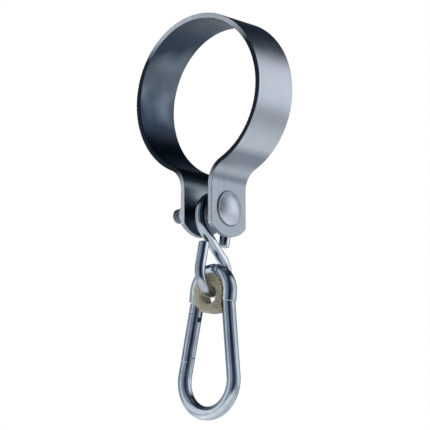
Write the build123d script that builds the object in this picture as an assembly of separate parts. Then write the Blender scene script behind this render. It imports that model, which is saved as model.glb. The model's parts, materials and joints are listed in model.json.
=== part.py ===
"""Swing hanger for round timber: strap clamp, carriage bolt, S-hook and bushed snap hook.

Millimetres. The origin is the centre of the clamp's bore. X runs along the timber's axis,
Y along the bolt with its nut at +Y, and Z is up. The S-hook lies in the XZ plane and the
snap hook hangs in the YZ plane, with its gate on the +Y side.
"""

import math
import os

from build123d import *

# Strap clamp: one flat strip bent round the timber, with two upright ears below it
bore_radius = 50.0
strap_width = 34.0
strap_thickness = 3.5
ear_gap = 20.0
ear_bend_radius = 14.0
head_ear_bottom = 94.6
nut_ear_bottom = 92.4
ear_end_radius = 24.0
ear_corner_radius = 1.8
strap_edge_radius = 0.45

# Carriage bolt through both ears, and its prevailing-torque nut
bolt_drop = 76.0
bolt_radius = 4.95
bolt_length = 45.5
bolt_end_chamfer = 1.2
head_radius = 11.2
head_height = 5.0
head_rim = 0.7
neck_side = 10.0
neck_length = 3.3
hole_clearance = 0.3
nut_across_flats = 17.0
nut_height = 10.0
nut_hex_height = 7.2
nut_corner_chamfer = 0.9
nut_corner_drop = 0.54
collar_radius = 7.6
collar_wall = 0.9
collar_lip = 0.8
collar_lip_height = 0.6
ring_gap = 0.05
thread_gap = 0.08

# S-hook: round bar bent in one plane, the same after half a turn about its centre
s_bar_radius = 3.5
s_loop_radius = 13.1
s_half_spacing = 18.0
s_upper_end_lean = 8.5
s_lower_end_lean = 13.0
s_end_length = 16.2
s_end_chamfer = 0.5
rest_gap = 0.1

# Snap hook: pear-shaped round bar with a thicker eye
eye_bar_radius = 5.0
leg_bar_radius = 4.5
eye_radius = 13.7
eye_gate_lean = 5.0
eye_spine_lean = -6.0
shoulder_drop = 7.0
eye_end_drop = 5.7
eye_edge_radius = 0.6
leg_overlap = 2.0
bow_radius = 20.95
bow_centre_y = 3.75
bow_drop = 57.3
spine_start_y = -12.7

# Gate, measured from its pivot pin along its own length
pin_y = 15.0
pin_drop = 11.5
gate_end_radius = 5.2
gate_length = 40.0
gate_end_slope = 15.0
gate_end_gap = 0.3
tongue_thickness = 3.0
slot_width = 3.4
hinge_slot_depth = 6.2
tongue_half_width = 3.6
tongue_flat = 3.0
pin_radius = 1.5
pin_running_gap = 0.05
pin_skin = 0.02
tongue_overlap = 1.0

# T-headed nose of the bar in the gate's end, placed along the gate from its pin
nose_slot_start = 29.6
nose_start = 30.1
head_slot_start = 32.7
head_slot_end = 36.7
nose_head_start = 33.15
nose_head_end = 36.5
head_slot_floor = -2.6
nose_head_floor = -2.4
nose_skin = 0.05
nose_overlap = 3.0

# Spring plunger inside the gate
gate_bore_radius = 2.1
bore_end = 26.0
plunger_radius = 2.0
plunger_tip_radius = 1.4
plunger_tip_length = 4.2
plunger_body_length = 5.0
plunger_gap = 0.15
plunger_tip_rounding = 0.3
spring_wire_radius = 0.3
spring_turns = 7
spring_gap = 0.15
spring_side_gap = 0.2

# Nylon bush in the eye
bush_radius = 12.0
bush_thickness = 12.0
bush_foot = 13.4
bush_foot_spine_y = -11.3
bush_foot_gate_y = 11.6
bush_hole_radius = 6.2
bush_throat_radius = 2.5
bush_seat_gap = 1.0
bush_groove_gap = 0.05
bush_chamfer_offset = 5.6
bush_chamfer_angle = 41.0
bush_corner_radius = 1.5

# Tools that cut past a part's faces
cut_over = 1.0
cut_reach = 20.0
cut_block = 60.0

# Derived places
outer_radius = bore_radius + strap_thickness
ear_inner_y = ear_gap / 2
ear_outer_y = ear_inner_y + strap_thickness
bolt_z = -bolt_drop
s_top_z = bolt_z + bolt_radius + rest_gap + s_bar_radius
s_centre_z = s_top_z - s_loop_radius - s_half_spacing
s_bottom_z = s_centre_z - s_half_spacing - s_loop_radius
bush_hole_z = s_bottom_z + s_bar_radius + bush_seat_gap - bush_hole_radius
eye_z = s_bottom_z
pin_z = eye_z - pin_drop
bow_z = eye_z - bow_drop


def tangent_point(start, centre, radius, side):
    """Point where the line from start touches a circle in YZ; side is +1 for +Y."""
    dy, dz = centre[0] - start[0], centre[1] - start[1]
    reach = math.hypot(dy, dz)
    heading = math.atan2(dz, dy)
    opening = math.asin(radius / reach)
    run = math.sqrt(reach**2 - radius**2)
    angle = heading + side * opening
    return start[0] + run * math.cos(angle), start[1] + run * math.sin(angle)


bow_centre = (bow_centre_y, bow_z)
gate_touch = tangent_point((pin_y, pin_z), bow_centre, bow_radius, 1)
gate_tilt = math.degrees(math.atan2(gate_touch[0] - pin_y, pin_z - gate_touch[1]))
gate_place = Pos(0, pin_y, pin_z) * Rot(gate_tilt, 0, 0)


def yz(y, z):
    """Point in the YZ plane."""
    return Vector(0, y, z)


def arc_by_angle(centre, radius, start, end, point):
    """Arc about centre from one angle to another, in degrees."""
    stations = []
    for angle in (start, (start + end) / 2, end):
        turn = math.radians(angle)
        stations.append(point(centre[0] + radius * math.cos(turn), centre[1] + radius * math.sin(turn)))
    return ThreePointArc(*stations)


def rod_along_x(radius, length, y=0.0, z=0.0):
    """Round rod along X, centred on (y, z)."""
    return Pos(0, y, z) * Rot(0, 90, 0) * Cylinder(radius, length)


def rod_along_y(radius, start, end, z):
    """Round rod along Y between two stations."""
    return Pos(0, (start + end) / 2, z) * Rot(90, 0, 0) * Cylinder(radius, end - start)


def bar_along(path, radius):
    """Round bar swept along a path."""
    section = Plane(origin=path @ 0, z_dir=path % 0) * Circle(radius)
    return sweep(section, path=path)


def strap_boundary(radius, ear_y, bend, foot_z):
    """One face line of the strap: ear, bend, ring, bend and ear, from -Y to +Y."""
    centre_y = ear_y + bend
    centre_z = -math.sqrt((radius + bend) ** 2 - centre_y**2)
    share = radius / (radius + bend)
    touch_y, touch_z = centre_y * share, centre_z * share
    touch_angle = math.degrees(math.atan2(touch_z - centre_z, touch_y - centre_y))
    right_bend = arc_by_angle((centre_y, centre_z), bend, touch_angle, 180, yz)
    left_bend = arc_by_angle((-centre_y, centre_z), bend, 0, 180 - touch_angle, yz)
    ring = ThreePointArc(yz(-touch_y, touch_z), yz(0, radius), yz(touch_y, touch_z))
    left_ear = Line(yz(-ear_y, foot_z), yz(-ear_y, centre_z))
    right_ear = Line(yz(ear_y, centre_z), yz(ear_y, foot_z))
    return [left_ear, left_bend, ring, right_bend, right_ear]


def ear_blank(side, bottom):
    """Flat blank of one half of the strap seen along Y, with its ear's rounded end."""
    half = strap_width / 2
    corner_z = -bottom + ear_end_radius - math.sqrt(ear_end_radius**2 - half**2)
    top_z = outer_radius + cut_over
    outline = [
        ThreePointArc((-half, 0, corner_z), (0, 0, -bottom), (half, 0, corner_z)),
        Polyline((half, 0, corner_z), (half, 0, top_z), (-half, 0, top_z), (-half, 0, corner_z)),
    ]
    blank = extrude(make_face(outline), outer_radius + cut_over, dir=(0, side, 0))
    corners = blank.edges().filter_by(Axis.Y).group_by(Axis.Z)[0]
    return fillet(corners, ear_corner_radius)


def make_strap():
    """Bent strip with round-ended ears, a square hole near the head and a round one opposite."""
    foot_z = -head_ear_bottom - cut_over
    outer = strap_boundary(outer_radius, ear_outer_y, ear_bend_radius, foot_z)
    inner = strap_boundary(bore_radius, ear_inner_y, ear_bend_radius + strap_thickness, foot_z)
    feet = [Line(yz(s * ear_inner_y, foot_z), yz(s * ear_outer_y, foot_z)) for s in (-1, 1)]
    band = extrude(make_face(outer + inner + feet), strap_width / 2, dir=(1, 0, 0), both=True)
    strap = band & (ear_blank(-1, head_ear_bottom) + ear_blank(1, nut_ear_bottom))

    square = neck_side + 2 * hole_clearance
    through = strap_thickness + 2 * cut_over
    strap -= Pos(0, -(ear_inner_y + ear_outer_y) / 2, bolt_z) * Box(square, through, square)
    hole_start, hole_end = ear_inner_y - cut_over, ear_outer_y + cut_over
    strap -= rod_along_y(bolt_radius + hole_clearance, hole_start, hole_end, bolt_z)
    rims = strap.edges().group_by(Axis.X)
    return fillet(rims[0] + rims[-1], strap_edge_radius)


def make_bolt():
    """Mushroom head, square neck and shank with a chamfered end."""
    seat = -ear_outer_y
    cap = head_height - head_rim
    dome = (head_radius**2 + cap**2) / (2 * cap)
    crown_mid = dome * math.sin(math.asin(head_radius / dome) / 2)
    crown_mid_y = seat - head_rim - cap + dome - math.sqrt(dome**2 - crown_mid**2)
    tip_y = seat + bolt_length

    def at(radius, y):
        return Vector(radius, y, 0)

    rim_y = seat - head_rim
    outline = [
        ThreePointArc(at(0, rim_y - cap), at(crown_mid, crown_mid_y), at(head_radius, rim_y)),
        Polyline(
            at(head_radius, rim_y),
            at(head_radius, seat),
            at(bolt_radius, seat),
            at(bolt_radius, tip_y - bolt_end_chamfer),
            at(bolt_radius - bolt_end_chamfer, tip_y),
            at(0, tip_y),
            at(0, rim_y - cap),
        ),
    ]
    turned = revolve(make_face(outline), Axis.Y)
    neck = Pos(0, seat + neck_length / 2, 0) * Box(neck_side, neck_length, neck_side)
    return Pos(0, 0, bolt_z) * (turned + neck)


def make_nut():
    """Hexagon with chamfered corners and a round collar with a seat for the nylon ring."""
    base = (Align.CENTER, Align.CENTER, Align.MIN)
    hexagon = extrude(RegularPolygon(nut_across_flats / 2, 6, major_radius=False), nut_hex_height)
    trim = Cylinder(nut_across_flats / math.sqrt(3), nut_hex_height, align=base)
    trim = chamfer(trim.edges(), nut_corner_drop, nut_corner_chamfer)
    collar = Cylinder(collar_radius, nut_height, align=base)
    collar = fillet(collar.edges().group_by(Axis.Z)[-1], collar_lip_height)
    nut = (hexagon & trim) + collar
    bore = collar_radius - collar_wall
    seat_height = nut_height - nut_hex_height - collar_lip_height
    nut -= Pos(0, 0, nut_hex_height) * Cylinder(bore, seat_height, align=base)
    nut -= Cylinder(bolt_radius + thread_gap, 2 * nut_height + cut_over)
    nut -= Pos(0, 0, nut_height) * Cylinder(bore - collar_lip, 2 * collar_lip_height + cut_over)
    return Pos(0, ear_outer_y, bolt_z) * Rot(-90, 0, 0) * nut


def make_nut_ring():
    """Nylon ring that grips the thread, under the collar's lip."""
    base = (Align.CENTER, Align.CENTER, Align.MIN)
    height = nut_height - nut_hex_height - collar_lip_height - 2 * ring_gap
    ring = Cylinder(collar_radius - collar_wall - ring_gap, height, align=base)
    ring -= Cylinder(bolt_radius + thread_gap, 2 * nut_height)
    return Pos(0, ear_outer_y + nut_hex_height + ring_gap, bolt_z) * Rot(-90, 0, 0) * ring


def make_s_hook():
    """Two near-closed loops joined by a straight diagonal."""
    side = math.sqrt(s_half_spacing**2 - s_loop_radius**2)
    bend = math.asin(s_loop_radius / s_half_spacing)
    touch = (-side * math.sin(bend), side * math.cos(bend))
    arc_end = 180 + math.degrees(bend)

    def loop(sign, end_lean):
        def place(x, z):
            return Vector(sign * x, 0, s_centre_z + sign * z)

        lean = math.radians(end_lean)
        arc = arc_by_angle((0, s_half_spacing), s_loop_radius, -end_lean, arc_end, place)
        start = (
            s_loop_radius * math.cos(lean),
            s_half_spacing - s_loop_radius * math.sin(lean),
        )
        tip = (start[0] - s_end_length * math.sin(lean), start[1] - s_end_length * math.cos(lean))
        return place(*tip), place(*start), arc, place(*touch)

    upper_tip, upper_start, upper_arc, upper_touch = loop(1, s_upper_end_lean)
    lower_tip, lower_start, lower_arc, lower_touch = loop(-1, s_lower_end_lean)
    path = Wire(
        [
            Line(upper_tip, upper_start).edge(),
            upper_arc.edge(),
            Line(upper_touch, lower_touch).edge(),
            lower_arc.edge(),
            Line(lower_start, lower_tip).edge(),
        ]
    )
    bar = bar_along(path, s_bar_radius)
    return chamfer(bar.faces().filter_by(GeomType.PLANE).edges(), s_end_chamfer)


def eye_path():
    """Centreline of the thick eye, from its gate end over the top to its spine shoulder."""
    gate_lean, spine_lean = math.radians(eye_gate_lean), math.radians(eye_spine_lean)
    gate_start = (eye_radius * math.cos(gate_lean), eye_z + eye_radius * math.sin(gate_lean))
    spine_start = (-eye_radius * math.cos(spine_lean), eye_z + eye_radius * math.sin(spine_lean))
    gate_run = gate_start[1] - (eye_z - eye_end_drop)
    spine_run = spine_start[1] - (eye_z - shoulder_drop)
    gate_end = (gate_start[0] + gate_run * math.tan(gate_lean), eye_z - eye_end_drop)
    spine_end = (spine_start[0] - spine_run * math.tan(spine_lean), eye_z - shoulder_drop)
    return Wire(
        [
            Line(yz(*gate_end), yz(*gate_start)).edge(),
            arc_by_angle((0, eye_z), eye_radius, eye_gate_lean, 180 - eye_spine_lean, yz).edge(),
            Line(yz(*spine_start), yz(*spine_end)).edge(),
        ]
    )


def leg_path():
    """Centreline of the thinner bar, from the shoulder round the bow to the gate's line."""
    start = (spine_start_y, eye_z - shoulder_drop + leg_overlap)
    touch = tangent_point(start, bow_centre, bow_radius, -1)
    spine_angle = math.degrees(math.atan2(touch[1] - bow_z, touch[0] - bow_centre_y)) % 360
    gate_angle = math.degrees(math.atan2(gate_touch[1] - bow_z, gate_touch[0] - bow_centre_y))
    bow = arc_by_angle(bow_centre, bow_radius, spine_angle, 360 + gate_angle, yz)
    nose = gate_place * Pos(0, 0, -gate_length + leg_overlap)
    return Wire(
        [
            Line(yz(*start), yz(*touch)).edge(),
            bow.edge(),
            Line(yz(*gate_touch), nose.position).edge(),
        ]
    )


def end_block(offset):
    """Everything past the sloping face between gate and nose, moved along the gate by offset."""
    block = Pos(0, 0, -cut_block / 2) * Box(cut_block, cut_block, cut_block)
    return Pos(0, 0, -gate_length - offset) * Rot(gate_end_slope, 0, 0) * block


def along_gate(width, depth, start, end, y=0.0):
    """Block between two stations along the gate, measured from its pin."""
    return Pos(0, y, -(start + end) / 2) * Box(width, depth, end - start)


def make_nose():
    """Tongue and T head on the bar's end, trimmed to the bar's round outline."""
    end = gate_length + nose_overlap
    tongue = along_gate(tongue_thickness, cut_reach, nose_start, end)
    head_y = nose_head_floor + cut_reach / 2
    head = along_gate(cut_reach, cut_reach, nose_head_start, nose_head_end, head_y)
    skin = Cylinder(leg_bar_radius - nose_skin, 2 * end)
    return gate_place * ((tongue + head) & skin)


def make_carabiner_body():
    """Bent bar with the gate's hinge tongue at the eye and a T-headed nose at the other end."""
    eye = bar_along(eye_path(), eye_bar_radius)
    eye = fillet(eye.faces().filter_by(GeomType.PLANE).edges(), eye_edge_radius)
    legs = bar_along(leg_path(), leg_bar_radius)
    gate_zone = Box(cut_reach, cut_reach, 2 * gate_length + cut_reach)
    legs -= gate_place * (gate_zone - end_block(gate_end_gap))

    tongue = along_gate(tongue_thickness, 2 * tongue_half_width, -cut_reach, tongue_flat)
    tongue -= rod_along_x(pin_radius + pin_running_gap, cut_reach)
    top_z = eye_z - eye_end_drop + tongue_overlap
    below_eye = Pos(0, pin_y, top_z - cut_block / 2) * Box(cut_block, cut_block, cut_block)
    return eye + legs + (gate_place * tongue & below_eye) + make_nose()


def make_gate():
    """Round bar with a hinge slot, a nose slot and a blind bore for the spring."""
    top = -gate_end_radius
    end = gate_length + leg_bar_radius
    bar = Pos(0, 0, -(top + end) / 2) * Cylinder(leg_bar_radius, end - top)
    rounding = rod_along_x(gate_end_radius, cut_reach)
    rounding += along_gate(cut_reach, cut_reach, 0, end + cut_over)
    bar = (bar & rounding) - end_block(0)
    bar -= along_gate(slot_width, cut_reach, -cut_reach, hinge_slot_depth)
    bar -= rod_along_x(pin_radius, cut_reach)
    bore_start = hinge_slot_depth - cut_over
    bar -= Pos(0, 0, -(bore_start + bore_end) / 2) * Cylinder(gate_bore_radius, bore_end - bore_start)
    bar -= along_gate(slot_width, cut_reach, nose_slot_start, end + cut_over)
    head_y = head_slot_floor + cut_reach / 2
    bar -= along_gate(cut_reach, cut_reach, head_slot_start, head_slot_end, head_y)
    return gate_place * bar


def make_pivot_pin():
    """Pin through the gate's fork, its ends trimmed to the bar's round face."""
    skin = Cylinder(leg_bar_radius - pin_skin, cut_reach)
    return gate_place * (rod_along_x(pin_radius - pin_skin, cut_reach) & skin)


def make_plunger():
    """Stepped plunger whose thin tip presses on the hinge tongue."""
    base = (Align.CENTER, Align.CENTER, Align.MAX)
    start = -tongue_flat - plunger_gap
    tip = Pos(0, 0, start) * Cylinder(plunger_tip_radius, plunger_tip_length + cut_over, align=base)
    tip = fillet(tip.edges().group_by(Axis.Z)[-1], plunger_tip_rounding)
    body = Pos(0, 0, start - plunger_tip_length) * Cylinder(plunger_radius, plunger_body_length, align=base)
    return gate_place * (tip + body)


def make_spring():
    """Compression spring between the plunger and the bore's floor."""
    seat = tongue_flat + plunger_gap + plunger_tip_length + plunger_body_length
    top = seat + spring_gap + spring_wire_radius
    length = bore_end - spring_gap - spring_wire_radius - top
    mean_radius = gate_bore_radius - spring_wire_radius - spring_side_gap
    path = Helix(pitch=length / spring_turns, height=length, radius=mean_radius)
    section = Plane(origin=path @ 0, z_dir=path % 0) * Circle(spring_wire_radius)
    coil = sweep(section, path=path, is_frenet=True)
    return gate_place * Pos(0, 0, -top - length) * coil


def throat_tool():
    """Solid to remove for the bush's hole, flared round at both faces."""
    half = bush_thickness / 2
    mouth = bush_hole_radius + bush_throat_radius
    start = half - bush_throat_radius

    def at(x, r):
        return Vector(x, 0, r)

    past = half + cut_over
    outline = [
        arc_by_angle((-start, mouth), bush_throat_radius, 180, 270, at),
        Line(at(-start, bush_hole_radius), at(start, bush_hole_radius)),
        arc_by_angle((start, mouth), bush_throat_radius, 270, 360, at),
        Polyline(at(half, mouth), at(past, mouth), at(past, 0), at(-past, 0), at(-past, mouth)),
        Line(at(-past, mouth), at(-half, mouth)),
    ]
    return Pos(0, 0, bush_hole_z) * revolve(make_face(outline), Axis.X)


def make_bush():
    """Grooved nylon bush that fills the eye, with a flared hole and a flat foot."""
    disc = rod_along_x(bush_radius, bush_thickness, 0, eye_z)
    foot_width = bush_foot_gate_y - bush_foot_spine_y
    foot_y = (bush_foot_gate_y + bush_foot_spine_y) / 2
    foot = Pos(0, foot_y, eye_z - bush_foot / 2) * Box(bush_thickness, foot_width, bush_foot)
    spine_corner = foot.edges().filter_by(Axis.X).group_by(Axis.Z)[0].sort_by(Axis.Y)[0]
    blank = disc + fillet(spine_corner, bush_corner_radius)

    slope = math.radians(bush_chamfer_angle)
    away = cut_block / 2 - bush_chamfer_offset
    corner = Pos(0, pin_y + away * math.sin(slope), pin_z - away * math.cos(slope))
    blank -= corner * Rot(bush_chamfer_angle, 0, 0) * Box(cut_block, cut_block, cut_block)
    blank -= bar_along(eye_path(), eye_bar_radius + bush_groove_gap)
    blank -= bar_along(leg_path(), leg_bar_radius + bush_groove_gap)
    tongue_room = 2 * (tongue_half_width + bush_groove_gap)
    blank -= gate_place * Box(tongue_thickness + 2 * bush_groove_gap, tongue_room, cut_reach)
    return blank - throat_tool()


os.makedirs("parts", exist_ok=True)
nodes = {
    "strap_clamp": make_strap(),
    "carriage_bolt": make_bolt(),
    "lock_nut": make_nut(),
    "nut_nylon_ring": make_nut_ring(),
    "s_hook": make_s_hook(),
    "nylon_bush": make_bush(),
    "carabiner_body": make_carabiner_body(),
    "gate": make_gate(),
    "gate_pivot_pin": make_pivot_pin(),
    "gate_spring": make_spring(),
    "gate_plunger": make_plunger(),
}
for name, shape in nodes.items():
    export_step(shape, f"parts/{name}.step")
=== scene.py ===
"""Looks for the swing hanger: camera, light, floor and the materials of its metal and nylon parts.

Metres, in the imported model's frame: X along the timber, Y along the bolt, Z up.
"""

import json
import math

import bpy
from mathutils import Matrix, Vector


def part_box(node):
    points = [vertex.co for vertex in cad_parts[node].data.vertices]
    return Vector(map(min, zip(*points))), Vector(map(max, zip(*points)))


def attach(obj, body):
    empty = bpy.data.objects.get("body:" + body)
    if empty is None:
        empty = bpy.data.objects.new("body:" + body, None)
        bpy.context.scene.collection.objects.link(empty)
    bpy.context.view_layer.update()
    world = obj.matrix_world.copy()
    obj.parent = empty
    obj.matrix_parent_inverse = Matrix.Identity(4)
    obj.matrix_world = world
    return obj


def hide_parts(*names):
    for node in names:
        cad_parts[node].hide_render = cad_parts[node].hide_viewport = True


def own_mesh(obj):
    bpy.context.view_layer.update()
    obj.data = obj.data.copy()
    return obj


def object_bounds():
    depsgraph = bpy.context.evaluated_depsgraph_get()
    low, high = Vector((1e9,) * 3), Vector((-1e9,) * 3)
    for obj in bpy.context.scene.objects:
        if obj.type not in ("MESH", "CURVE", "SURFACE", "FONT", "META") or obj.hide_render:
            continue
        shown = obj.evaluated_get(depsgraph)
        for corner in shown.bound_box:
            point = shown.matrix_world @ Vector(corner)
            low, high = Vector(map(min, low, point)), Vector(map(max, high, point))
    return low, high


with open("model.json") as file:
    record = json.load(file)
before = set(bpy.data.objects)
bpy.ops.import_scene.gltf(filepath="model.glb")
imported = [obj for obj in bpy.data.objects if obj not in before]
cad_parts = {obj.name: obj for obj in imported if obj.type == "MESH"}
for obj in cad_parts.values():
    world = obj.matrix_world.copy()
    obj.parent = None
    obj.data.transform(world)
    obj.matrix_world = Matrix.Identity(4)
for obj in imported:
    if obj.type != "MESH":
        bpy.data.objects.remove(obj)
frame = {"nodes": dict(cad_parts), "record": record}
cad_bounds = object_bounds()

# Camera, from below and to the left of the bolt's head
VIEW_AZIMUTH = math.radians(-49.0)
VIEW_ELEVATION = math.radians(-10.73)
VIEW_DISTANCE = 1.433
VIEW_SIDE = 0.0011
VIEW_RAISE = 0.0008
LENS = 184.0
SENSOR = 36.0

# Strap: heights where its painted shade and light change, from its sheared edges to the inside of its ears,
# and the width of the painted shadow line round the bolt's head
SHEAR_SHADE_TOP = 0.042
SHEAR_SHADE_FULL = 0.028
SHEAR_SHADE_BOTTOM = -0.060
SHEAR_SHADE_START = -0.050
EAR_SHADE_START = -0.046
EAR_SHADE_END = -0.056
CREASE_Z = -0.0455
CREASE_REACH = 0.0062
CREASE_CORE = 0.0018
SHOULDER_START = 0.028
SHOULDER_END = 0.036
CROWN_START = 0.0425
CROWN_END = 0.0455
EAR_INSIDE_START = -0.040
EAR_INSIDE_END = -0.048
EAR_DARK_Z = -0.056
EAR_PALE_Z = -0.076
PATCH_Z = -0.065
PATCH_REACH = 0.009
PATCH_CORE = 0.002
HEAD_SHADOW_REACH = 0.0011
HEAD_SHADOW_CORE = 0.0003

# Carriage bolt, M10
HEAD_HEIGHT = 0.0050
HEAD_RIM = 0.0007
HEAD_ROUND = 0.0006
HEAD_EDGE = 0.0003
DOME_STEPS = 22
RIM_STEPS = 6
NECK_HALF = 0.0050
NECK_CORNER = 1.32
NECK_LENGTH = 0.0033
SHANK_RADIUS = 0.00495
SHANK_PLAIN = 0.006
THREAD_PITCH = 0.0015
THREAD_DEPTH = 0.0009
THREAD_FLANK = 4.2
THREAD_CREST = 1.5
THREAD_STEPS = 12
SHANK_SHADE_RUN = 0.0005
TIP_CHAMFER = 0.0012
TIP_SLOPE = 0.95
TIP_FACE = 1.2
TIP_ROUND = 0.0002
AROUND = 72

# Gate: the riveted pin's outline
PIN_RADIUS = 0.0016
PIN_LINE_REACH = 0.0003
PIN_LINE_CORE = 0.0001

# Spring inside the gate, measured along the gate from its pin
SPRING_START = 0.0128
SPRING_END = 0.02555
SPRING_RADIUS = 0.0016
SPRING_WIRE = 0.0003
SPRING_TURNS = 7
SPRING_STEPS = 36
WIRE_SIDES = 12

# Bush
BUSH_VOXEL = 0.00028
BUSH_SMOOTHING = 5
BUSH_SHADE_HALF = 0.009
# Throat of the hole, where the painted light glows by emission.
THROAT_OUTER = 0.0069
THROAT_INNER = 0.0062
THROAT_GLOW = 0.34

# Lights: azimuth and elevation in degrees, distance, size and power
LIGHTS = {
    "overhead": (0, 89, 2.4, 6.0, 190),
    "front_fill": (-75, -10, 1.6, 1.4, 12),
}

# Floor, and the distances from its middle where it fades to the background's white
FLOOR_DROP = 1.25
FLOOR_HALF = 6.0
FLOOR_FADE_START = 0.6
FLOOR_FADE_END = 4.5


def set_camera():
    """Camera at the chosen angle, aimed a little right of and above the middle of the object's box."""
    low, high = Vector(cad_bounds[0]), Vector(cad_bounds[1])
    away = Vector((
        math.sin(VIEW_AZIMUTH) * math.cos(VIEW_ELEVATION),
        -math.cos(VIEW_AZIMUTH) * math.cos(VIEW_ELEVATION),
        math.sin(VIEW_ELEVATION),
    ))
    right = Vector((math.cos(VIEW_AZIMUTH), math.sin(VIEW_AZIMUTH), 0))
    target = (low + high) / 2 + right * VIEW_SIDE + Vector((0, 0, VIEW_RAISE))
    data = bpy.data.cameras.new("camera")
    data.lens = LENS
    data.sensor_width = SENSOR
    data.clip_end = 50
    camera = bpy.data.objects.new("camera", data)
    camera.location = target + away * VIEW_DISTANCE
    camera.rotation_euler = (-away).to_track_quat("-Z", "Y").to_euler()
    bpy.context.scene.collection.objects.link(camera)
    bpy.context.scene.camera = camera


class Graph:
    """Short calls for building a node tree."""

    def __init__(self, tree):
        self.tree = tree

    def node(self, kind, **settings):
        made = self.tree.nodes.new(kind)
        for key, value in settings.items():
            setattr(made, key, value)
        return made

    def put(self, socket, value):
        """Link an output to the socket, or set the socket's own value."""
        if isinstance(value, bpy.types.NodeSocket):
            self.tree.links.new(value, socket)
        elif hasattr(value, "__len__") and socket.type == "RGBA":
            socket.default_value = (*value[:3], 1)
        else:
            socket.default_value = value

    def math(self, operation, *values, clamp=False):
        made = self.node("ShaderNodeMath", operation=operation, use_clamp=clamp)
        for socket, value in zip(made.inputs, values):
            self.put(socket, value)
        return made.outputs[0]

    def mix(self, factor, a, b, blend="MIX"):
        made = self.node("ShaderNodeMix", data_type="RGBA", blend_type=blend)
        self.put(made.inputs[0], factor)
        self.put(made.inputs[6], a)
        self.put(made.inputs[7], b)
        return made.outputs[2]

    def ramp(self, factor, stops, smooth=False):
        """Colour ramp from (position, grey or colour) stops."""
        made = self.node("ShaderNodeValToRGB")
        made.color_ramp.interpolation = "EASE" if smooth else "LINEAR"
        elements = made.color_ramp.elements
        for index, (place, colour) in enumerate(stops):
            if index < 2:
                element = elements[index]
                element.position = place
            else:
                element = elements.new(place)
            if not hasattr(colour, "__len__"):
                colour = (colour, colour, colour)
            element.color = (*colour, 1)
        self.put(made.inputs[0], factor)
        return made.outputs[0]

    def coords(self, kind, scale):
        """Texture coordinates, stretched by scale."""
        source = self.node("ShaderNodeTexCoord").outputs[kind]
        mapping = self.node("ShaderNodeMapping")
        self.put(mapping.inputs["Vector"], source)
        mapping.inputs["Scale"].default_value = scale
        return mapping.outputs[0]

    def noise(self, vector, scale, detail=3.0, rough=0.5, distort=0.0):
        made = self.node("ShaderNodeTexNoise")
        self.put(made.inputs["Vector"], vector)
        made.inputs["Scale"].default_value = scale
        made.inputs["Detail"].default_value = detail
        made.inputs["Roughness"].default_value = rough
        made.inputs["Distortion"].default_value = distort
        return made.outputs[0]

    def span(self, value, low, high, to_low=0.0, to_high=1.0):
        """Map a range onto another, clamped."""
        made = self.node("ShaderNodeMapRange")
        for socket, number in zip(made.inputs, (value, low, high, to_low, to_high)):
            self.put(socket, number)
        return made.outputs[0]

    def axis(self, vector, index):
        """One component of a vector."""
        made = self.node("ShaderNodeSeparateXYZ")
        self.put(made.inputs[0], vector)
        return made.outputs[index]

    def reach(self, vector, axes, centre):
        """Distance of a point from the centre, in the plane of two axes."""
        squares = []
        for k in axes:
            offset = self.math("SUBTRACT", self.axis(vector, k), centre[k])
            squares.append(self.math("POWER", self.math("ABSOLUTE", offset), 2.0))
        return self.math("SQRT", self.math("ADD", *squares))

    def near(self, value, place, outer, inner):
        """1 within inner of the place, falling to 0 at outer."""
        return self.span(self.math("ABSOLUTE", self.math("SUBTRACT", value, place)), outer, inner)

    def bump(self, height, strength, distance, normal=None):
        made = self.node("ShaderNodeBump")
        made.inputs["Strength"].default_value = strength
        made.inputs["Distance"].default_value = distance
        self.put(made.inputs["Height"], height)
        if normal is not None:
            self.put(made.inputs["Normal"], normal)
        return made.outputs[0]


def new_material(name):
    made = bpy.data.materials.new(name)
    made.use_nodes = True
    graph = Graph(made.node_tree)
    return made, graph, made.node_tree.nodes["Principled BSDF"]


# Surroundings that the metal reflects: colours round the horizon, as shares of a turn that starts and
# ends behind the object and passes the camera half-way; straight up; and by the share of the way down
HORIZON = [
    (0.000, (0.28, 0.32, 0.38)),
    (0.150, (0.55, 0.60, 0.66)),
    (0.195, (0.07, 0.10, 0.14)),
    (0.225, (0.10, 0.13, 0.18)),
    (0.250, (0.84, 0.91, 1.00)),
    (0.325, (0.64, 0.70, 0.78)),
    (0.360, (0.16, 0.20, 0.27)),
    (0.410, (0.40, 0.46, 0.54)),
    (0.450, (0.08, 0.11, 0.16)),
    (0.530, (0.012, 0.018, 0.034)),
    (0.580, (0.03, 0.04, 0.07)),
    (0.630, (0.30, 0.35, 0.43)),
    (0.680, (0.42, 0.47, 0.55)),
    (0.715, (1.25, 1.31, 1.38)),
    (0.800, (1.08, 1.13, 1.19)),
    (0.860, (0.30, 0.34, 0.41)),
    (0.975, (0.12, 0.145, 0.185)),
    (1.000, (0.28, 0.32, 0.38)),
]
OVERHEAD = (0.012, 0.021, 0.038)
BELOW = [
    (0.10, (0.80, 0.85, 0.90)),
    (0.24, (0.52, 0.57, 0.62)),
    (0.34, (0.48, 0.53, 0.58)),
    (0.46, (0.80, 0.84, 0.89)),
    (0.64, (1.00, 1.03, 1.07)),
    (0.76, (0.78, 0.82, 0.86)),
    (0.92, (0.84, 0.88, 0.92)),
]
UP_START = 0.60
UP_END = 0.80
UP_TILT = 0.3
DOWN_START = -0.03
DOWN_END = -0.18
DOWN_TILT = 0.35


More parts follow.
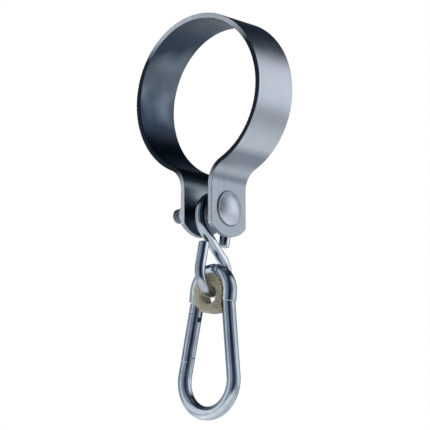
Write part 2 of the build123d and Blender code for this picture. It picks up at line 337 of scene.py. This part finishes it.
def set_world():
    """White behind the object; light and dark panels round it for the metal to reflect."""
    world = bpy.data.worlds.new("studio")
    bpy.context.scene.world = world
    world.use_nodes = True
    g = Graph(world.node_tree)
    background = world.node_tree.nodes["Background"]
    direction = g.node("ShaderNodeTexCoord").outputs["Generated"]
    turn = g.node("ShaderNodeVectorRotate", rotation_type="Z_AXIS")
    g.put(turn.inputs["Vector"], direction)
    turn.inputs["Angle"].default_value = math.pi / 2 - VIEW_AZIMUTH
    x, y, z = (g.axis(turn.outputs[0], k) for k in range(3))
    round_it = g.math("ARCTAN2", y, x)
    place = g.math("MULTIPLY_ADD", round_it, 1 / math.tau, 0.5)
    ring = g.ramp(place, HORIZON)
    up = g.span(g.math("SUBTRACT", z, g.math("MULTIPLY", x, UP_TILT)), UP_START, UP_END)
    ahead = g.math("MAXIMUM", x, 0.0)
    down = g.span(g.math("ADD", z, g.math("MULTIPLY", ahead, DOWN_TILT)), DOWN_START, DOWN_END)
    under = g.ramp(g.math("MULTIPLY", z, -1.0), BELOW)
    colour = g.mix(down, g.mix(up, ring, OVERHEAD), under)
    seen = g.node("ShaderNodeLightPath").outputs["Is Camera Ray"]
    g.put(background.inputs["Color"], g.mix(seen, colour, (1, 1, 1)))
    background.inputs["Strength"].default_value = 1.0


def area_light(name, azimuth, elevation, distance, size, power, target):
    """Soft square panel that faces the target, placed by angle round it and not seen in reflections."""
    a, e = math.radians(azimuth), math.radians(elevation)
    away = Vector((math.sin(a) * math.cos(e), -math.cos(a) * math.cos(e), math.sin(e)))
    data = bpy.data.lights.new(name, "AREA")
    data.shape = "RECTANGLE"
    data.size = data.size_y = size
    data.energy = power
    light = bpy.data.objects.new(name, data)
    light.location = target + away * distance
    light.rotation_euler = (-away).to_track_quat("-Z", "Y").to_euler()
    light.visible_glossy = False
    bpy.context.scene.collection.objects.link(light)


def zinc_strip(head_centre, head_radius):
    """Satin zinc plate: rolling lines, cloudy tone and sheared edges, with painted shade and light: darker
    ears, dark bands at the bend and the top, painted shade on the inward faces with a lighter patch inside
    the ears, painted shade on the middle of the sheared edges, and a painted shadow line round the head.
    """
    made, g, shader = new_material("zinc_strip")
    lines = g.noise(g.coords("Object", (900, 14, 14)), 1.0, 3, 0.6)
    fine = g.noise(g.coords("Object", (2600, 60, 60)), 1.0, 2, 0.5)
    place = g.coords("Object", (1, 1, 1))
    cloud = g.noise(place, 45, 4, 0.55, 0.4)
    soft_cloud = g.noise(place, 28, 2, 0.45)
    grain = g.noise(place, 1600, 3, 0.7)
    normal = g.node("ShaderNodeTexCoord").outputs["Normal"]
    outward = g.coords("Object", (0, 1, 1))
    height = g.axis(place, 2)

    edge = g.span(g.math("ABSOLUTE", g.axis(normal, 0)), 0.80, 0.92)
    facing = g.node("ShaderNodeVectorMath", operation="DOT_PRODUCT")
    g.put(facing.inputs[0], normal)
    g.put(facing.inputs[1], outward)
    inside = g.span(facing.outputs["Value"], 0.002, -0.002)

    tone = g.mix(g.span(cloud, 0.35, 0.68), (0.46, 0.49, 0.53), (0.56, 0.59, 0.63))
    tone = g.mix(g.span(lines, 0.3, 0.7, 0.0, 0.35), tone, (0.40, 0.43, 0.47))
    # Painted shade: the strap's outer face is darkened on the ears below the bend.
    ear_shaded_tone = g.mix(1.0, tone, (0.68, 0.71, 0.73), "MULTIPLY")
    tone = g.mix(g.span(height, EAR_SHADE_START, EAR_SHADE_END), tone, ear_shaded_tone)
    # Painted shade: a dark band along the bend just above the ears.
    crease_shade = g.near(height, CREASE_Z, CREASE_REACH, CREASE_CORE)
    tone = g.mix(g.math("MULTIPLY", crease_shade, 0.85), tone, (0.16, 0.19, 0.23))
    # Painted shade: the top of the strap is darkened towards navy in two steps, at the shoulders and at the
    # crown.
    for low, high, share in ((SHOULDER_START, SHOULDER_END, 0.5), (CROWN_START, CROWN_END, 0.4)):
        tone = g.mix(g.math("MULTIPLY", g.span(height, low, high), share), tone, (0.10, 0.13, 0.17))
    # Painted shadow: a dark line on the strap round the rim of the bolt's head.
    head = g.near(g.reach(place, (0, 2), head_centre), head_radius, HEAD_SHADOW_REACH, HEAD_SHADOW_CORE)
    tone = g.mix(g.math("MULTIPLY", head, 0.75), tone, (0.05, 0.06, 0.08))
    # Painted shade: the strap's inward faces are dark, with a random cloudy variation, standing in for the
    # shade inside the loop.
    inside_shade = g.mix(g.span(soft_cloud, 0.42, 0.72), (0.026, 0.044, 0.068), (0.17, 0.205, 0.245))
    # Painted shade and light inside the ears: very dark at the bend, paler lower down, with a lighter
    # painted patch round PATCH_Z.
    patch = g.near(height, PATCH_Z, PATCH_REACH, PATCH_CORE)
    ear_patch_light = g.math("MULTIPLY", patch, g.span(soft_cloud, 0.35, 0.60, 0.5, 1.0))
    ear_inside_shade = g.mix(g.span(height, EAR_DARK_Z, EAR_PALE_Z), (0.009, 0.017, 0.028), (0.085, 0.120, 0.165))
    ear_inside_shade = g.mix(ear_patch_light, ear_inside_shade, (0.26, 0.30, 0.34))
    inside_shade = g.mix(g.span(height, EAR_INSIDE_START, EAR_INSIDE_END), inside_shade, ear_inside_shade)
    tone = g.mix(inside, tone, inside_shade)

    # Sheared edges: a random bright speckle, lighter towards +Y as painted light on that side, and painted
    # dark blue-grey shade over the middle heights of the ring.
    sheared = g.noise(g.coords("Object", (700, 1500, 1500)), 1.0, 4, 0.75)
    side = g.span(g.axis(place, 1), -0.005, 0.005, 0.0, 0.09)
    speckle = g.ramp(g.math("ADD", sheared, side), [
        (0.37, (0.14, 0.17, 0.21)), (0.43, (0.66, 0.70, 0.74)), (0.50, (1.0, 1.0, 1.0))])
    edge_shade = g.ramp(sheared, [(0.42, (0.018, 0.026, 0.036)), (0.70, (0.07, 0.085, 0.105))])
    below = g.span(height, SHEAR_SHADE_TOP, SHEAR_SHADE_FULL)
    shade = g.math("MULTIPLY", g.span(height, SHEAR_SHADE_BOTTOM, SHEAR_SHADE_START), below)
    g.put(shader.inputs["Base Color"], g.mix(edge, tone, g.mix(shade, speckle, edge_shade)))
    rough = g.span(g.math("ADD", cloud, g.math("MULTIPLY", lines, 0.5)), 0.5, 1.0, 0.24, 0.36)
    rough = g.mix(edge, rough, (0.55, 0.55, 0.55))
    g.put(shader.inputs["Roughness"], rough)
    shader.inputs["Metallic"].default_value = 1.0
    soft = g.bump(g.math("ADD", lines, g.math("MULTIPLY", fine, 0.4)), 0.10, 0.0002)
    pitted = g.bump(g.math("ADD", sheared, grain), 0.9, 0.0004)
    mixed = g.node("ShaderNodeMix", data_type="VECTOR")
    g.put(mixed.inputs[0], edge)
    g.put(mixed.inputs[4], soft)
    g.put(mixed.inputs[5], pitted)
    g.put(shader.inputs["Normal"], mixed.outputs[1])
    return made


def zinc_fastener(name, dark, light, shank_start=None):
    """Forged and plated fastener: faint dimples and cloudy plating, with painted shade beyond shank_start
    along Y.
    """
    made, g, shader = new_material(name)
    cloud = g.noise(g.coords("Object", (1, 1, 1)), 160, 4, 0.6, 0.3)
    grain = g.noise(g.coords("Object", (1, 1, 1)), 1900, 3, 0.6)
    tone = g.mix(g.span(cloud, 0.35, 0.65), dark, light)
    # Painted shade: beyond shank_start along Y the tone is darkened to about half, standing in for the
    # shade among the threads.
    if shank_start is not None:
        along = g.axis(g.coords("Object", (1, 1, 1)), 1)
        past = g.span(along, shank_start, shank_start + SHANK_SHADE_RUN)
        tone = g.mix(past, tone, g.mix(1.0, tone, (0.52, 0.54, 0.57), "MULTIPLY"))
    g.put(shader.inputs["Base Color"], tone)
    g.put(shader.inputs["Roughness"], g.span(cloud, 0.3, 0.7, 0.40, 0.52))
    shader.inputs["Metallic"].default_value = 1.0
    relief = g.math("ADD", cloud, g.math("MULTIPLY", grain, 0.3))
    g.put(shader.inputs["Normal"], g.bump(relief, 0.25, 0.0003))
    return made


def bright_bar(name, across, pin=None):
    """Bright plated bar bent in one plane; across is the axis that its drawing lines, and the painted dark
    reflection streaks along them, never follow.

    With pin, the riveted pin's outline shows as a fine dark line round that point in YZ.
    """
    made, g, shader = new_material(name)
    place = g.coords("Object", (1, 1, 1))
    cross = g.node("ShaderNodeCombineXYZ")
    g.put(cross.inputs[0], g.axis(place, across))
    g.put(cross.inputs[1], g.math("MULTIPLY", g.axis(place, 2), 0.012))
    drawn_lines_and_streaks = g.noise(cross.outputs[0], 950, 2, 0.6)
    fine = g.noise(cross.outputs[0], 3200, 2, 0.5)
    cloud = g.noise(place, 110, 4, 0.6, 0.5)
    scuff = g.noise(place, 900, 4, 0.7)
    tone = g.mix(g.span(cloud, 0.35, 0.65), (0.57, 0.61, 0.65), (0.74, 0.78, 0.82))
    # Painted reflection: the tone is darkened to navy along the drawing lines, standing in for dark streaks
    # of the surroundings; the same noise also gives the real relief below.
    tone = g.mix(g.span(drawn_lines_and_streaks, 0.36, 0.56, 0.75, 0.0), tone, (0.17, 0.22, 0.29))
    g.put(shader.inputs["Base Color"], tone)
    g.put(shader.inputs["Roughness"], g.span(g.math("ADD", cloud, scuff), 0.7, 1.3, 0.09, 0.20))
    shader.inputs["Metallic"].default_value = 1.0
    height = g.math("ADD", drawn_lines_and_streaks, g.math("MULTIPLY", fine, 0.25))
    if pin is not None:
        outline = g.near(g.reach(place, (1, 2), pin), PIN_RADIUS, PIN_LINE_REACH, PIN_LINE_CORE)
        g.put(shader.inputs["Base Color"], g.mix(outline, tone, (0.05, 0.06, 0.08)))
    lines = g.bump(height, 1.0, 0.00022)
    g.put(shader.inputs["Normal"], g.bump(scuff, 0.10, 0.0001, lines))
    return made


def spring_steel():
    """Dark oiled spring wire and plunger."""
    made, g, shader = new_material("spring_steel")
    cloud = g.noise(g.coords("Object", (1, 1, 1)), 700, 3, 0.6)
    g.put(shader.inputs["Base Color"], g.mix(cloud, (0.10, 0.11, 0.13), (0.24, 0.25, 0.28)))
    g.put(shader.inputs["Roughness"], g.span(cloud, 0.3, 0.7, 0.25, 0.45))
    shader.inputs["Metallic"].default_value = 1.0
    return made


def olive_nylon(hole):
    """Slightly translucent moulded nylon with faint flow marks, and painted light in the throat of the
    hole, which glows by emission in place of light shining through.
    """
    made, g, shader = new_material("olive_nylon")
    place = g.coords("Object", (1, 1, 1))
    flow = g.noise(place, 120, 3, 0.5, 1.2)
    grain = g.noise(place, 1500, 3, 0.6)
    face = g.mix(g.span(flow, 0.3, 0.7), (0.235, 0.224, 0.166), (0.285, 0.281, 0.220))
    across = g.span(g.axis(place, 1), -BUSH_SHADE_HALF, BUSH_SHADE_HALF)
    shade = g.mix(across, (0.76, 0.73, 0.68), (1.10, 1.10, 1.12))
    face = g.mix(1.0, face, shade, "MULTIPLY")
    # Painted light: the throat of the hole glows by emission in the face colour, standing in for light
    # shining through the nylon.
    throat = g.span(g.reach(place, (1, 2), hole), THROAT_OUTER, THROAT_INNER)
    g.put(shader.inputs["Base Color"], face)
    g.put(shader.inputs["Emission Color"], face)
    g.put(shader.inputs["Emission Strength"], g.math("MULTIPLY", throat, THROAT_GLOW))
    g.put(shader.inputs["Roughness"], g.span(grain, 0.3, 0.7, 0.42, 0.56))
    shader.inputs["Subsurface Weight"].default_value = 1.0
    shader.inputs["Subsurface Radius"].default_value = (1.0, 0.9, 0.65)
    shader.inputs["Subsurface Scale"].default_value = 0.010
    shader.inputs["Specular IOR Level"].default_value = 0.35
    relief = g.math("ADD", flow, g.math("MULTIPLY", grain, 0.25))
    g.put(shader.inputs["Normal"], g.bump(relief, 0.12, 0.0003))
    return made


def nut_nylon():
    """Blue-green nylon of the nut's locking ring."""
    made, g, shader = new_material("nut_nylon")
    flow = g.noise(g.coords("Object", (1, 1, 1)), 600, 3, 0.5)
    g.put(shader.inputs["Base Color"], g.mix(flow, (0.16, 0.26, 0.30), (0.26, 0.36, 0.40)))
    g.put(shader.inputs["Roughness"], g.span(flow, 0.3, 0.7, 0.35, 0.5))
    shader.inputs["Subsurface Weight"].default_value = 0.3
    shader.inputs["Subsurface Scale"].default_value = 0.001
    return made


def make_mesh(name, vertices, faces, material, sharp=35.0):
    """Object from vertices and faces, smooth except at edges sharper than the angle."""
    mesh = bpy.data.meshes.new(name)
    mesh.from_pydata([tuple(v) for v in vertices], [], faces)
    mesh.validate()
    mesh.polygons.foreach_set("use_smooth", [True] * len(mesh.polygons))
    mesh.set_sharp_from_angle(angle=math.radians(sharp))
    mesh.materials.append(material)
    made = bpy.data.objects.new(name, mesh)
    bpy.context.scene.collection.objects.link(made)
    return made


def grid_faces(rings, around):
    """Quads between rings of points, closed round, with a point at each end."""
    faces = []
    first, last = 0, 1 + rings * around
    for k in range(around):
        after = (k + 1) % around
        faces.append((first, 1 + after, 1 + k))
        for ring in range(rings - 1):
            base = 1 + ring * around
            faces.append((base + k, base + after, base + around + after, base + around + k))
        base = 1 + (rings - 1) * around
        faces.append((base + k, base + after, last))
    return faces


def make_bolt(material):
    """Carriage bolt: domed head with a rounded rim, square neck and a rolled thread."""
    low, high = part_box("carriage_bolt")
    middle_z = (low[2] + high[2]) / 2
    head_radius = (high[0] - low[0]) / 2
    seat_y = low[1] + HEAD_HEIGHT
    neck_end = seat_y + NECK_LENGTH
    tip_y = high[1]

    def round_ring(y, radius):
        return y, lambda angle: radius

    def square_ring(y, half):
        def reach(angle):
            flat = half / max(abs(math.cos(angle)), abs(math.sin(angle)))
            return min(flat, half * NECK_CORNER)
        return y, reach

    rings = []
    cap = HEAD_HEIGHT - HEAD_RIM
    dome = (head_radius**2 + cap**2) / (2 * cap)
    for k in range(1, DOME_STEPS + 1):
        radius = (head_radius - HEAD_ROUND) * k / DOME_STEPS
        rings.append(round_ring(low[1] + dome - math.sqrt(dome**2 - radius**2), radius))
    edge_y = rings[-1][0]
    for k in range(1, RIM_STEPS + 1):
        turn = math.pi / 2 * k / RIM_STEPS
        radius = head_radius - HEAD_ROUND * (1 - math.sin(turn))
        rings.append(round_ring(edge_y + (seat_y - edge_y - HEAD_EDGE) * (1 - math.cos(turn)), radius))
    rings.append(round_ring(seat_y - HEAD_EDGE * 0.4, head_radius))
    rings.append(round_ring(seat_y, head_radius - HEAD_EDGE))
    rings.append(square_ring(seat_y, NECK_HALF))
    rings.append(square_ring(neck_end - HEAD_EDGE, NECK_HALF))
    rings.append(square_ring(neck_end, NECK_HALF - HEAD_EDGE))
    rings.append(round_ring(neck_end, SHANK_RADIUS))
    rings.append(round_ring(neck_end + SHANK_PLAIN, SHANK_RADIUS))

    def thread_ring(y):
        def reach(angle):
            phase = (y / THREAD_PITCH - angle / math.tau) % 1.0
            crest = min(1.0, max(0.0, THREAD_CREST - abs(phase - 0.5) * THREAD_FLANK))
            taper = max(0.0, y - (tip_y - TIP_CHAMFER))
            run_in = min(1.0, (y - neck_end - SHANK_PLAIN) / THREAD_PITCH)
            depth = THREAD_DEPTH * (1 - crest) * run_in
            return min(SHANK_RADIUS - depth, SHANK_RADIUS - taper * TIP_SLOPE)
        return y, reach

    start = neck_end + SHANK_PLAIN
    count = int((tip_y - start) / THREAD_PITCH * THREAD_STEPS)
    for k in range(1, count + 1):
        rings.append(thread_ring(start + (tip_y - start - TIP_ROUND) * k / count))
    rings.append(round_ring(tip_y - TIP_ROUND * 0.3, SHANK_RADIUS - TIP_CHAMFER * TIP_FACE))

    vertices = [(0, low[1], middle_z)]
    for y, reach in rings:
        for k in range(AROUND):
            angle = math.tau * k / AROUND
            radius = reach(angle)
            vertices.append((radius * math.cos(angle), y, middle_z + radius * math.sin(angle)))
    vertices.append((0, tip_y, middle_z))
    bolt = make_mesh("bolt", vertices, grid_faces(len(rings), AROUND), material, 32)
    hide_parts("carriage_bolt")
    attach(bolt, "clamp")


def make_spring(material):
    """Coil spring in the gate's bore."""
    pin = Vector(JOINTS["gate_open"]["pos_m"])
    along = Vector(JOINTS["plunger_slide"]["axis"]).normalized()
    side = Vector((1, 0, 0))
    other = along.cross(side)
    length = SPRING_END - SPRING_START
    steps = SPRING_TURNS * SPRING_STEPS

    vertices = []
    for k in range(steps + 1):
        turn = math.tau * k / SPRING_STEPS
        out = side * math.cos(turn) + other * math.sin(turn)
        centre = pin + along * (SPRING_START + length * k / steps) + out * SPRING_RADIUS
        if k == 0:
            vertices.append(centre)
        for j in range(WIRE_SIDES):
            angle = math.tau * j / WIRE_SIDES
            vertices.append(centre + (out * math.cos(angle) + along * math.sin(angle)) * SPRING_WIRE)
    vertices.append(centre)
    spring = make_mesh("spring", vertices, grid_faces(steps + 1, WIRE_SIDES), material, 60)
    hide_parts("gate_spring")
    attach(spring, "gate_arm")
    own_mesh(spring)


def soften_bush():
    """Rounds the moulded bush's edges with a fine remesh and a little smoothing."""
    bush = frame["nodes"]["nylon_bush"]
    remesh = bush.modifiers.new("moulded", "REMESH")
    remesh.mode = "VOXEL"
    remesh.voxel_size = BUSH_VOXEL
    remesh.use_smooth_shade = True
    smooth = bush.modifiers.new("rounded", "SMOOTH")
    smooth.factor = 0.5
    smooth.iterations = BUSH_SMOOTHING


def floor_material():
    """Pale matt studio floor with a faint grain, which fades to the white of the background."""
    made, g, shader = new_material("floor")
    place = g.coords("Object", (1, 1, 1))
    cloud = g.noise(place, 3, 4, 0.6)
    fade = g.span(g.reach(place, (0, 1), (0, 0)), FLOOR_FADE_START, FLOOR_FADE_END)
    pale = g.mix(cloud, (0.84, 0.84, 0.85), (0.90, 0.90, 0.91))
    g.put(shader.inputs["Base Color"], g.mix(fade, pale, (0, 0, 0)))
    shader.inputs["Emission Color"].default_value = (1, 1, 1, 1)
    g.put(shader.inputs["Emission Strength"], fade)
    shader.inputs["Specular IOR Level"].default_value = 0.0
    g.put(shader.inputs["Roughness"], g.span(cloud, 0.3, 0.7, 0.6, 0.75))
    return made


def make_floor():
    """Flat square floor well below the hanging object."""
    z = cad_bounds[0][2] - FLOOR_DROP
    h = FLOOR_HALF
    mesh = bpy.data.meshes.new("floor")
    mesh.from_pydata([(-h, -h, z), (h, -h, z), (h, h, z), (-h, h, z)], [], [(0, 1, 2, 3)])
    floor = bpy.data.objects.new("floor", mesh)
    mesh.materials.append(floor_material())
    floor.visible_glossy = False
    bpy.context.scene.collection.objects.link(floor)


set_camera()
set_world()
make_floor()
middle = (Vector(cad_bounds[0]) + Vector(cad_bounds[1])) / 2
for name, settings in LIGHTS.items():
    area_light(name, *settings, middle)
bpy.context.scene.view_settings.view_transform = "Standard"

JOINTS = {joint["name"]: joint for joint in frame["record"]["behaviour"]["joints"]}
BOLT_LOW, BOLT_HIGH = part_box("carriage_bolt")
BOLT_HEAD = [(a + b) / 2 for a, b in zip(BOLT_LOW, BOLT_HIGH)]
HEAD_RADIUS = (BOLT_HIGH[0] - BOLT_LOW[0]) / 2
BOLT_PLATE = zinc_fastener("bolt_plate", (0.60, 0.63, 0.67), (0.80, 0.83, 0.87), BOLT_LOW[1] + HEAD_HEIGHT)
NUT_PLATE = zinc_fastener("nut_plate", (0.70, 0.73, 0.77), (0.94, 0.96, 0.98))
SPRING_STEEL = spring_steel()
LOOKS = (
    (zinc_strip(BOLT_HEAD, HEAD_RADIUS), ["strap_clamp"]),
    (BOLT_PLATE, ["carriage_bolt"]),
    (NUT_PLATE, ["lock_nut", "gate_pivot_pin"]),
    (bright_bar("hook_bar", 1), ["s_hook"]),
    (bright_bar("snap_bar", 0), ["carabiner_body"]),
    (bright_bar("gate_bar", 0, JOINTS["gate_open"]["pos_m"]), ["gate"]),
    (SPRING_STEEL, ["gate_spring", "gate_plunger"]),
    (olive_nylon(JOINTS["carabiner_swing"]["pos_m"]), ["nylon_bush"]),
    (nut_nylon(), ["nut_nylon_ring"]),
)
for material, names in LOOKS:
    for name in names:
        mesh = frame["nodes"][name].data
        mesh.materials.clear()
        mesh.materials.append(material)

make_bolt(BOLT_PLATE)
make_spring(SPRING_STEEL)
soften_bush()
